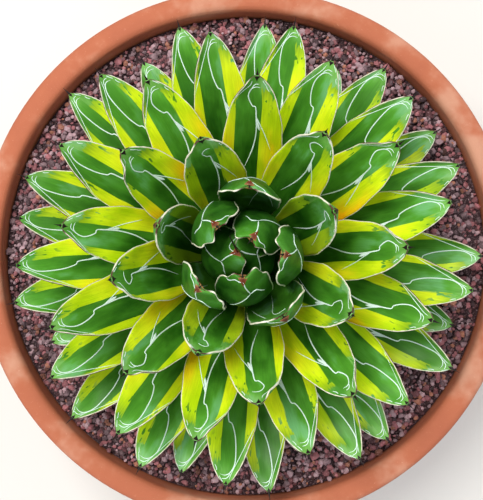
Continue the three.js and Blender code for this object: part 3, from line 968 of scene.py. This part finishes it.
def margin_part(rule, side):
    """The horny margin on one side: a tube along the blade's edge, from its foot to the spine, a little wider
    than high. Its radius is smaller at the foot and varies in slow waves. It is paler on young leaves."""
    along = BLADE_END * np.sin(0.5 * np.pi * np.linspace(MARGIN_START, 1, LEAF_ROWS))
    middle = blade_points(rule, side, along, 0.5)
    away = unit(middle - blade_points(rule, side * 0.93, along, 0.5))
    radius = rule.plant.margin
    upward = unit(raised(rule, side + 0 * along, along, 0, radius) - blade_points(rule, side, along, 0))
    turn = circle(MARGIN_COLUMNS)[None, :]
    cos, sin = np.cos(turn), np.sin(turn)
    waves = 1 + MARGIN_WAVE * np.sin(along * 140 + rule.phase)
    radius = radius * mix(MARGIN_FOOT, 1, ease(0.1, 0.5, along)) * waves
    ring = cos[..., None] * away[:, None] + MARGIN_FLATTER * sin[..., None] * upward[:, None]
    to_spine = np.hypot((BLADE_END - along) * rule.length, half_width(rule, side, along))[:, None]
    # The margin's outer, lower edge is browner, partly worn horn and partly painted shade; in the heart the
    # brown moves to the upper edge, which faces in
    facing = -1 if rule.in_heart else 1
    outer = cos - 0.35 * facing * sin - aged(rule.leaf, UNWORN)
    values = {"outer": outer, "from_tip": to_spine * MILLIMETRES, "unripe": rule.unripe, "leaf": rule.leaf}
    rings = middle[:, None] + radius[:, None, None] * ring
    return shell(rings, MARGIN, outer * 0.001 + 0.05 * side, to_spine, values)


def cap_part(rule, face):
    """The horny cap on one face of the tip: a thin strip along the middle line, whose half width grows as a
    power of the place along it until the margins stop it. It is longer on young leaves."""
    t = np.linspace(0, 1, CAP_POINTS)[:, None]
    across = np.linspace(-1, 1, CAP_POINTS)[None, :]
    scale = aged(rule.leaf, YOUNG_CAP) * aged(rule.leaf, OLD_CAP)
    back = rule.plant.cap_length * scale * (1 - t)
    along = BLADE_END - back / rule.length
    width = half_width(rule, 1.0, along)
    half = np.minimum(CAP_END + rule.plant.cap_width * scale * t**CAP_POWER, CAP_LIMIT * width)
    rise = rule.plant.print_height * (1.3 - 1.9 * across**4)
    rings = raised(rule, across * half / width, along + 0 * across, face, rise[..., None])
    values = {"foot": 1 - 0.5 * t**3, "rim": 0.8 * np.abs(across) ** 3}
    values |= {"unripe": rule.unripe, "leaf": rule.leaf}
    return shell(rings, HORN, across * half, back, values)


def spine_part(rule):
    """The needle of the terminal spine: a cone with a flared foot inside the tip, a little flatter than wide.
    The flare falls off as a power of the place along it. The first bud leaf's is a thin needle that keeps its
    width and lies over the bud."""
    t = np.linspace(0, 1, 11)
    end, depth, (flare, power) = BLADE_END, 0.5, SPINE_FLARE
    if rule.top_of_bud:
        end, depth, (flare, power) = BLADE_END - BUD_SPINE_BACK, 0.9, BUD_SPINE_FLARE
    reach = end + mix(-SPINE_SUNK, rule.spine, t) / rule.length
    axis = blade_points(rule, 0.0, np.minimum(reach, end), depth)
    ahead = axis[-1] - blade_points(rule, 0.0, end - 0.02, depth)
    if rule.top_of_bud:
        ahead = np.array(BUD_SPINE_WAY)
    ahead = unit(ahead)
    axis = axis + (np.maximum(0, reach - end) * rule.length)[:, None] * ahead
    left, right = (blade_points(rule, share, BLADE_END - 0.01, 0.5) for share in (0.3, -0.3))
    across = left - right
    across = unit(across - (across @ ahead) * ahead)
    turn = circle(SPINE_COLUMNS)[:, None]
    ring = np.cos(turn) * across + SPINE_FLATTER * np.sin(turn) * np.cross(ahead, across)
    width = rule.plant.spine_width * (SPINE_POINT + flare * (1 - t) ** power)
    rings = axis[:, None] + width[:, None, None] * ring[None]
    foot = (0.5 * (1 - ease(0.1, 0.5, t)) if rule.in_heart else 1 - ease(0.2, 0.8, t))[:, None]
    values = {"foot": foot, "unripe": rule.unripe, "leaf": rule.leaf}
    return shell(rings, HORN, foot * 0.002, foot * 0.004, values)


def make_leaf(leaf, name, plant, materials):
    """One leaf with its margins, its prints, its caps and its spine. The second and third bud leaves are
    wrapped, so they have no cap or spine that shows."""
    rule = leaf_rule(leaf, plant)
    parts = [blade_part(rule), *(margin_part(rule, side) for side in (-1, 1))]
    parts += [print_part(rule, *line) for line in print_lines(rule)]
    if leaf > -2:
        parts += [cap_part(rule, 0), cap_part(rule, 1), spine_part(rule)]
    return make_piece(name, parts, materials)


def bud_core_part():
    """The youngest leaves, still one cone: a smooth profile turned round the axis, with three shallow folds
    that wind up it."""
    profile = smooth_line(BUD_CORE, 33)
    turn = circle(60)[None, :]
    out, up = profile[:, :1], profile[:, 1:]
    out = out * (1 + 0.05 * np.abs(np.sin(1.5 * turn + 40 * up)))
    rings = [out * np.cos(turn), out * np.sin(turn), np.broadcast_to(up, out.shape) + GRIT_LEVEL]
    values = {"from_tip": (up[-1] - up) * MILLIMETRES, "band_edge": 9.0, "yellow_room": -30.0, "tone": 0.8}
    values |= {"underside": 0.3, "unripe": 1.0}
    return shell(np.stack(rings, -1), SKIN, turn * 0.015, up[-1] - up, values)


# The materials of a leaf, in the order of SKIN, MARGIN, PRINT and HORN
LEAF_SURFACES = {
    "agave leaf cuticle": leaf_skin,
    "dried horn margin": margin_horn,
    "white wax print": bud_print,
    "spine horn": spine_horn,
}


def leaf_materials(skin):
    """The materials of every leaf, made once."""
    made = bpy.data.materials
    return [made.get(name) or make_material(name, surface, skin) for name, surface in LEAF_SURFACES.items()]


def stone_shapes(count, rng):
    """Crushed stones of unit size: the 12 points of an icosahedron, cut by random planes that press each
    point back to the plane it lies beyond, then stretched and turned at random."""
    golden = (1 + math.sqrt(5)) / 2
    ball = np.array([np.roll((0, i, j * golden), k) for k in range(3) for i in (-1, 1) for j in (-1, 1)])
    apart = np.linalg.norm(ball[:, None] - ball[None], axis=-1)
    faces = np.array([each for each in combinations(range(12), 3) if apart[np.ix_(each, each)].max() < 2.1])
    ball = unit(ball)
    inward = np.einsum("ij,ij->i", ball[faces[:, 0]], np.cross(ball[faces[:, 1]], ball[faces[:, 2]])) < 0
    faces[inward] = faces[inward][:, ::-1]
    points = np.broadcast_to(ball, (count, *ball.shape)) * rng.uniform(*UNEVEN, (count, len(ball), 1))
    for _ in range(CUTS):
        normal = unit(rng.normal(size=(count, 1, 3)))
        beyond = (points * normal).sum(-1, keepdims=True) - rng.uniform(*CUT_AT, (count, 1, 1))
        points = points - np.maximum(0, beyond) * normal
    points = points * rng.uniform(*STRETCH, (count, 1, 3))
    turn = np.linalg.qr(rng.normal(size=(count, 3, 3)))[0]
    turn = turn * np.sign(np.linalg.det(turn))[:, None, None]
    return np.einsum("nij,nkj->nki", turn, points), faces


def scattered(grit, inner, outer, rng):
    """Places in a ring, on a lattice of equal triangles with each point moved at random, and a thin second
    layer over them."""
    spacing = grit.spacing
    row_spacing = spacing * math.sqrt(0.75)
    steps = int(outer / row_spacing) + 2
    column, row = np.meshgrid(np.arange(-steps, steps + 1), np.arange(-steps, steps + 1))
    flat = np.stack([(column + 0.5 * (row % 2)) * spacing, row * row_spacing], -1).reshape(-1, 2)
    flat = flat + rng.uniform(-JITTER, JITTER, flat.shape) * spacing
    top = flat[rng.random(len(flat)) < grit.second_layer] + 0.5 * spacing
    layers = zip(LAYERS, (flat, top))
    height = np.concatenate([rng.normal(middle, LAYER_SPREAD, len(layer)) for middle, layer in layers])
    flat = np.concatenate([flat, top])
    roll = 0.0006 * (np.sin(flat[:, 0] * 61 + 1) + np.sin(flat[:, 1] * 47 + flat[:, 0] * 23))
    places = np.column_stack([flat, GRIT_LEVEL + 0.0002 + height + roll])
    radius = np.hypot(flat[:, 0], flat[:, 1])
    return places[(radius > inner) & (radius < outer)]


def rounded(corners):
    """A closed profile from (radius, height, rounding) corners: at each one an arc, drawn as a quadratic
    curve from a point before the corner to one after it."""
    outline = []
    spots = np.array([corner[:2] for corner in corners])
    for i, (*_, rounding) in enumerate(corners):
        here = spots[i]
        if not rounding:
            outline.append(here[None])
            continue
        ways = [spots[i - 1] - here, spots[(i + 1) % len(spots)] - here]
        before, after = (here + unit(way) * rounding for way in ways)
        t = np.linspace(0, 1, ARC_POINTS)[:, None]
        outline.append((1 - t) ** 2 * before + 2 * t * (1 - t) * here + t**2 * after)
    return np.concatenate(outline)


def bowl_profile(bowl):
    """The bowl's section: a recessed foot, a wall whose radius grows as a power of its height, and a rim."""
    rim_base = bowl.height - bowl.rim_height
    rim_inside = bowl.rim_radius - bowl.rim_thickness

    def wall(height):
        return mix(bowl.foot_radius, WALL_TOP_RADIUS, (height / rim_base) ** WALL_SWELL)

    outside = [(wall(height), height, 0) for height in np.linspace(0.006, rim_base - 0.006, 14)]
    inside = [(wall(height) - bowl.wall, height, 0) for height in np.linspace(rim_base - 0.034, 0.024, 12)]
    ring = bowl.foot_radius - FOOT_RING
    return rounded([
        (DRAIN_RADIUS, FOOT_RECESS, 0.001),
        (ring, FOOT_RECESS, 0.001),
        (ring + FOOT_RECESS, 0, 0.001),
        (bowl.foot_radius + 0.0005, 0, 0.0025),
        *outside,
        (WALL_TOP_RADIUS, rim_base, 0.002),
        (bowl.rim_radius, rim_base, 0.0025),
        (bowl.rim_radius, bowl.height, 0.006),
        (rim_inside, bowl.height, 0.006),
        (rim_inside, rim_base + 0.001, 0.004),
        *inside,
        (wall(FLOOR_TOP) - bowl.wall - 0.001, FLOOR_TOP, 0.006),
        (DRAIN_RADIUS, FLOOR_TOP, 0.001),
    ])


def bowl_part(bowl):
    """The profile turned round the axis, with its radius swelling by a fifth of a millimetre in slow waves,
    as thrown clay does."""
    profile = bowl_profile(bowl)
    turn = circle(BOWL_COLUMNS)[:, None]
    waves = np.sin(3 * turn + 0.4) + 0.6 * np.sin(5 * turn + 60 * profile[None, :, 1])
    radius = profile[None, :, 0] + 0.00018 * waves * ease(0.012, 0.05, profile[None, :, 0])
    height = np.broadcast_to(profile[None, :, 1], radius.shape)
    points = np.stack([radius * np.cos(turn), radius * np.sin(turn), height], -1)
    rows, columns = radius.shape
    points = points.reshape(-1, 3)
    triangles = outward(points, grid_triangles(rows + 1, columns) % len(points))
    return {"points": points, "triangles": triangles, "material": 0, "smooth": True, "values": {}}


def dress_node(name, material):
    """Gives a packed solid a new material in place of its own."""
    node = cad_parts[name]
    node.data.materials.clear()
    node.data.materials.append(material)


def add_light(name, place, size, power, colour):
    """A square area light that faces the lit spot."""
    light = bpy.data.lights.new(name, "AREA")
    light.size = size
    light.energy = power
    light.color = colour
    lamp = add_object(name, light)
    lamp.location = place
    lamp.rotation_euler = (Vector(LIT_SPOT) - Vector(place)).to_track_quat("-Z", "Y").to_euler()


def number_property(name, description, default, **settings):
    return FloatProperty(name=name, description=description, default=default, **{"min": 0, **settings})


def length_property(name, description, default):
    return number_property(name, description, default, precision=5, unit="LENGTH")


def colour_property(name, description, code):
    return FloatVectorProperty(
        name=name, description=description, default=linear(code), size=4, min=0, max=1, subtype="COLOR"
    )


def group_property(name, kind):
    return PointerProperty(type=kind, name=name, description=kind.__doc__)


class AgaveLeafSettings(PropertyGroup):
    """Sizes of the leaves and what is on them"""

    leaf_length: length_property("Leaf length", "Longest leaf, along its middle line", 0.1355)
    half_width: length_property("Half width", "Greatest half width of an open leaf", 0.0205)
    keel: length_property("Keel", "Thickness of an old leaf at the foot of its keel", 0.0072)
    ripple: length_property("Ripple", "Height of the slow ripples in a blade", 0.00025)
    flap: number_property("Flap", "Slope at which the left margin turns up near the tip", 0.7, max=2)
    margin: length_property("Margin", "Radius of the horny margin", 0.00054)
    print_height: length_property("Print height", "How far a bud print stands over the blade", 0.00016)
    spine_length: length_property("Spine length", "Terminal spine past the tip of the blade", 0.0060)
    spine_width: length_property("Spine width", "Half width of the spine at its foot", 0.0014)
    cap_length: length_property("Cap length", "Horny cap on the tip, along the blade", 0.0042)
    cap_width: length_property("Cap width", "Half width of the horny cap on the tip", 0.0026)


class AgaveSkinColours(PropertyGroup):
    """Colours of the leaves"""

    band_dark: colour_property("Dark band", "Darkest green of the middle band", "#184c08")
    band_light: colour_property("Light band", "Lightest green of the middle band", "#58a22e")
    tip_dark: colour_property("Dark tip", "Darkest green of the tip", "#4a8c2e")
    tip_light: colour_property("Light tip", "Lightest green of the tip", "#82ba5c")
    olive: colour_property("Olive", "Margins where the yellow begins", "#8aae1e")
    lime: colour_property("Lime", "Greener part of the yellow margins", "#b4d60c")
    yellow: colour_property("Yellow", "Brighter part of the yellow margins", "#dcee1c")
    warm: colour_property("Warm yellow", "Margins towards the foot, where the sun has turned them", "#f8ac06")
    unripe: colour_property("Unripe margin", "Margins of the youngest leaves", "#84ae1e")
    # Painted sheen: with the wax bloom, this colour paints the pale blue-green reflection of the sky near the
    # tips
    painted_sheen_film: colour_property("Wax film", "Patches of thicker wax over the leaf near its tip", "#7cb88c")
    underside: colour_property("Underside", "Bloom on the lower face", "#3d8030")
    horn: colour_property("Horn", "Lightest part of the horny margin", "#f6f2e2")
    horn_shade: colour_property("Shaded horn", "Darker part of the horny margin", "#d6ceb4")
    horn_brown_and_shade: colour_property("Worn horn and painted shade", "Outer edge of the horny margin", "#4a2818")
    # The blue-green tint of the prints is a painted reflection of the sky
    print_light: colour_property("Print", "Lightest part of the bud prints", "#f4fefa")
    print_shade: colour_property("Shaded print", "Darker part of the bud prints", "#ccebe2")
    spine: colour_property("Spine", "Old spines and the points of young ones", "#1c1110")
    spine_red: colour_property("Young spine", "Foot of a young spine", "#4a1608")
    cap_rim: colour_property("Cap rim", "Rim of a young cap", "#d09a60")
    spine_amber: colour_property("Amber spine", "Lightest part of a young spine's foot", "#8c3a12")


class AgaveGritSettings(PropertyGroup):
    """The crushed stone on the soil"""

    spacing: length_property("Spacing", "Mean distance from one stone to the next", 0.0032)
    stone: length_property("Stone", "Mean half width of a stone", 0.0019)
    second_layer: number_property("Second layer", "Share of stones with another on them", 0.25, max=1)
    red: colour_property("Red stone", "Light faces of the red stones", "#b8747a")
    mauve: colour_property("Mauve stone", "Light faces of the mauve stones", "#c6a4ac")
    rust: colour_property("Rusty stone", "Light faces of the rusty stones", "#ba7a62")
    dark: colour_property("Dark stone", "Dark faces of all the stones", "#28141a")
    powder: colour_property("Powder", "Powder in the pores", "#ccacb0")


class AgaveBowlSettings(PropertyGroup):
    """The bowl"""

    height: length_property("Height", "Foot to rim", BOWL_HIGH.z)
    rim_radius: length_property("Rim radius", "Outside of the rim band", BOWL_HIGH.x)
    rim_height: length_property("Rim height", "Height of the rim band", 0.034)
    rim_thickness: length_property("Rim thickness", "Thickness of the rim band", 0.017)
    foot_radius: length_property("Foot radius", "Outside of the foot", 0.126)
    wall: length_property("Wall", "Thickness of the wall", 0.012)
    clay: colour_property("Clay", "Light fired clay", "#c2714c")
    clay_dark: colour_property("Dark clay", "Dark fired clay", "#a4563c")
    clay_speck: colour_property("Clay speck", "Grog that shows in the surface", "#d9a184")
    salts: colour_property("Salts", "Salts that wicked through the wall", "#d8b49c")


class AgaveFillingColours(PropertyGroup):
    """Soil and stem"""

    soil: colour_property("Soil", "Light crumbs", "#4a3527")
    soil_dark: colour_property("Dark soil", "Dark crumbs", "#241711")
    perlite: colour_property("Perlite", "White specks", "#cfc9bd")
    stem: colour_property("Stem", "Pale stem tissue", "#a9ab78")
    scar: colour_property("Leaf scar", "Rings where leaves were", "#6c6540")


class AgaveStageSettings(PropertyGroup):
    """Floor, lights and camera"""

    camera_height: length_property("Camera height", "Camera over the stones", 0.700)
    lens: number_property("Lens", "Focal length for a 36 mm sensor", 68.95, min=10, unit="CAMERA")
    sky: number_property("Sky", "Strength of the even light from all round", 0.27)
    key_power: number_property("Key light", "Power of the large light", 35, unit="POWER")
    fill_power: number_property("Fill light", "Power that the other lights have shares of", 20, unit="POWER")
    floor: colour_property("Floor", "Floor paint", "#dedcd6")
    floor_light: colour_property("Light floor", "Lighter floor paint", "#e6e4df")


class AgaveSettings(PropertyGroup):
    """All settings of the potted agave"""

    leaf: group_property("Leaves", AgaveLeafSettings)
    skin: group_property("Leaf colours", AgaveSkinColours)
    grit: group_property("Stones", AgaveGritSettings)
    bowl: group_property("Bowl", AgaveBowlSettings)
    filling: group_property("Filling", AgaveFillingColours)
    stage: group_property("Stage", AgaveStageSettings)


class AGAVE_OT_bowl(Operator):
    """Turns the terracotta bowl in place of its packed solid"""

    bl_idname = "agave.bowl"
    bl_label = "Terracotta bowl"

    def execute(self, context):
        bowl = context.scene.agave.bowl
        material = make_material("unglazed terracotta", terracotta, bowl)
        piece = make_piece("terracotta_bowl", [bowl_part(bowl)], [material])
        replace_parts(piece, "pot")
        return {"FINISHED"}


class AGAVE_OT_filling(Operator):
    """Dresses the packed soil and stem"""

    bl_idname = "agave.filling"
    bl_label = "Soil and stem"

    def execute(self, context):
        filling = context.scene.agave.filling
        dress_node("soil", make_material("potting soil", potting_soil, filling))
        dress_node("stem", make_material("scarred stem", scarred_stem, filling))
        return {"FINISHED"}


class AGAVE_OT_grit(Operator):
    """Scatters the crushed stone, by colour, on the packed bed"""

    bl_idname = "agave.grit"
    bl_label = "Crushed stone"

    def execute(self, context):
        grit = context.scene.agave.grit
        bowl = context.scene.agave.bowl
        rng = np.random.default_rng(GRIT_SEED)
        outer = bowl.rim_radius - bowl.rim_thickness - 1.05 * grit.stone
        places = scattered(grit, STEM_RADIUS + 1.2 * grit.stone, outer, rng)
        sort = rng.choice(3, size=len(places), p=list(STONE_SHARES.values()))
        # The bed shows only in the gaps between the stones; its near-black colour is painted shade
        bed = tuple(mix(np.array(grit.dark), np.array(grit.red), BED_RED))
        bed = make_material("bed of crushed lava", crushed_stone, bed, grit.dark, grit.powder)
        dress_node("gravel", bed)
        for number, name in enumerate(STONE_SHARES):
            chosen = places[sort == number]
            shapes, faces = stone_shapes(len(chosen), rng)
            size = grit.stone * rng.lognormal(0, SIZE_SPREAD, (len(chosen), 1, 1)).clip(*SIZE_LIMITS)
            points = (shapes * size + chosen[:, None]).reshape(-1, 3)
            corners = shapes.shape[1]
            triangles = (faces[None] + corners * np.arange(len(chosen))[:, None, None]).reshape(-1, 3)
            shade = np.repeat(rng.uniform(*SHADES, len(chosen)), corners)
            part = {"points": points, "triangles": triangles, "material": 0, "smooth": False}
            part["values"] = {"shade": shade}
            colours = (getattr(grit, name), grit.dark, grit.powder)
            material = make_material(f"crushed {name} lava", crushed_stone, *colours)
            make_piece(f"stones_{name}", [part], [material])
        return {"FINISHED"}


class AGAVE_OT_leaves(Operator):
    """Grows each open leaf in place of its packed solid"""

    bl_idname = "agave.leaves"
    bl_label = "Open leaves"

    def execute(self, context):
        settings = context.scene.agave
        materials = leaf_materials(settings.skin)
        for leaf in range(HEART_LEAVES, LEAVES):
            piece = make_leaf(leaf, f"agave_leaf_{leaf:02d}", settings.leaf, materials)
            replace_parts(piece, f"leaf_{leaf:02d}")
        return {"FINISHED"}


class AGAVE_OT_heart(Operator):
    """Grows the bud and the curled leaves round it in place of the packed heart"""

    bl_idname = "agave.heart"
    bl_label = "Heart"

    def execute(self, context):
        settings = context.scene.agave
        materials = leaf_materials(settings.skin)
        for leaf in range(-BUD_LEAVES, HEART_LEAVES):
            name = f"bud_leaf_{-leaf}" if leaf < 0 else f"heart_leaf_{leaf}"
            piece = make_leaf(leaf, name, settings.leaf, materials)
            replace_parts(piece, "heart")
        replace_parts(make_piece("bud_core", [bud_core_part()], materials[:1]), "heart")
        return {"FINISHED"}


class AGAVE_OT_stage(Operator):
    """Lays the floor, and sets the lights, the camera above and the plain view transform"""

    bl_idname = "agave.stage"
    bl_label = "Stage"

    def execute(self, context):
        stage = context.scene.agave.stage
        mesh = bpy.data.meshes.new("floor")
        corners = [(FLOOR_REACH * x, FLOOR_REACH * y, 0) for x, y in ((-1, -1), (1, -1), (1, 1), (-1, 1))]
        mesh.from_pydata(corners, [], [(0, 1, 2, 3)])
        mesh.materials.append(make_material("matt floor paint", floor_paint, stage))
        add_object("floor", mesh)
        for name, (place, size, power, share, colour) in LIGHTS.items():
            add_light(name, place, size, share * getattr(stage, power), colour)
        world = bpy.data.worlds.new("even sky")
        world.use_nodes = True
        sky = world.node_tree.nodes["Background"]
        sky.inputs["Color"].default_value = linear(SKY)
        sky.inputs["Strength"].default_value = stage.sky
        context.scene.world = world
        lens = bpy.data.cameras.new("camera")
        lens.sensor_width = 36
        lens.lens = stage.lens
        camera = add_object("camera", lens)
        camera.location = (*CAMERA_PLACE, GRIT_LEVEL + stage.camera_height)
        camera.rotation_euler = CAMERA_TILT
        context.scene.camera = camera
        context.scene.view_settings.view_transform = "Standard"
        return {"FINISHED"}


class AGAVE_PT_panel(Panel):
    """Lists the steps and the settings"""

    bl_idname = "AGAVE_PT_panel"
    bl_label = "Potted agave"
    bl_space_type = "VIEW_3D"
    bl_region_type = "UI"
    bl_category = "Agave"

    def draw(self, context):
        settings = context.scene.agave
        for step in STEPS:
            self.layout.operator(step.bl_idname)
        for group in ("leaf", "skin", "grit", "bowl", "filling", "stage"):
            box = self.layout.box()
            box.label(text=settings.bl_rna.properties[group].name)
            values = getattr(settings, group)
            for key in values.bl_rna.properties.keys():
                if key not in ("rna_type", "name"):
                    box.prop(values, key)


STEPS = (AGAVE_OT_bowl, AGAVE_OT_filling, AGAVE_OT_grit, AGAVE_OT_leaves, AGAVE_OT_heart, AGAVE_OT_stage)
GROUPS = (
    AgaveLeafSettings, AgaveSkinColours, AgaveGritSettings, AgaveBowlSettings, AgaveFillingColours,
    AgaveStageSettings, AgaveSettings,
)


def register():
    for kind in (*GROUPS, *STEPS, AGAVE_PT_panel):
        bpy.utils.register_class(kind)
    bpy.types.Scene.agave = group_property("Potted agave", AgaveSettings)


def unregister():
    del bpy.types.Scene.agave
    for kind in reversed((*GROUPS, *STEPS, AGAVE_PT_panel)):
        bpy.utils.unregister_class(kind)


def main():
    """Runs every step in order."""
    register()
    for step in STEPS:
        group, name = step.bl_idname.split(".")
        getattr(getattr(bpy.ops, group), name)()
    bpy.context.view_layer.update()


if __name__ == "__main__":
    main()
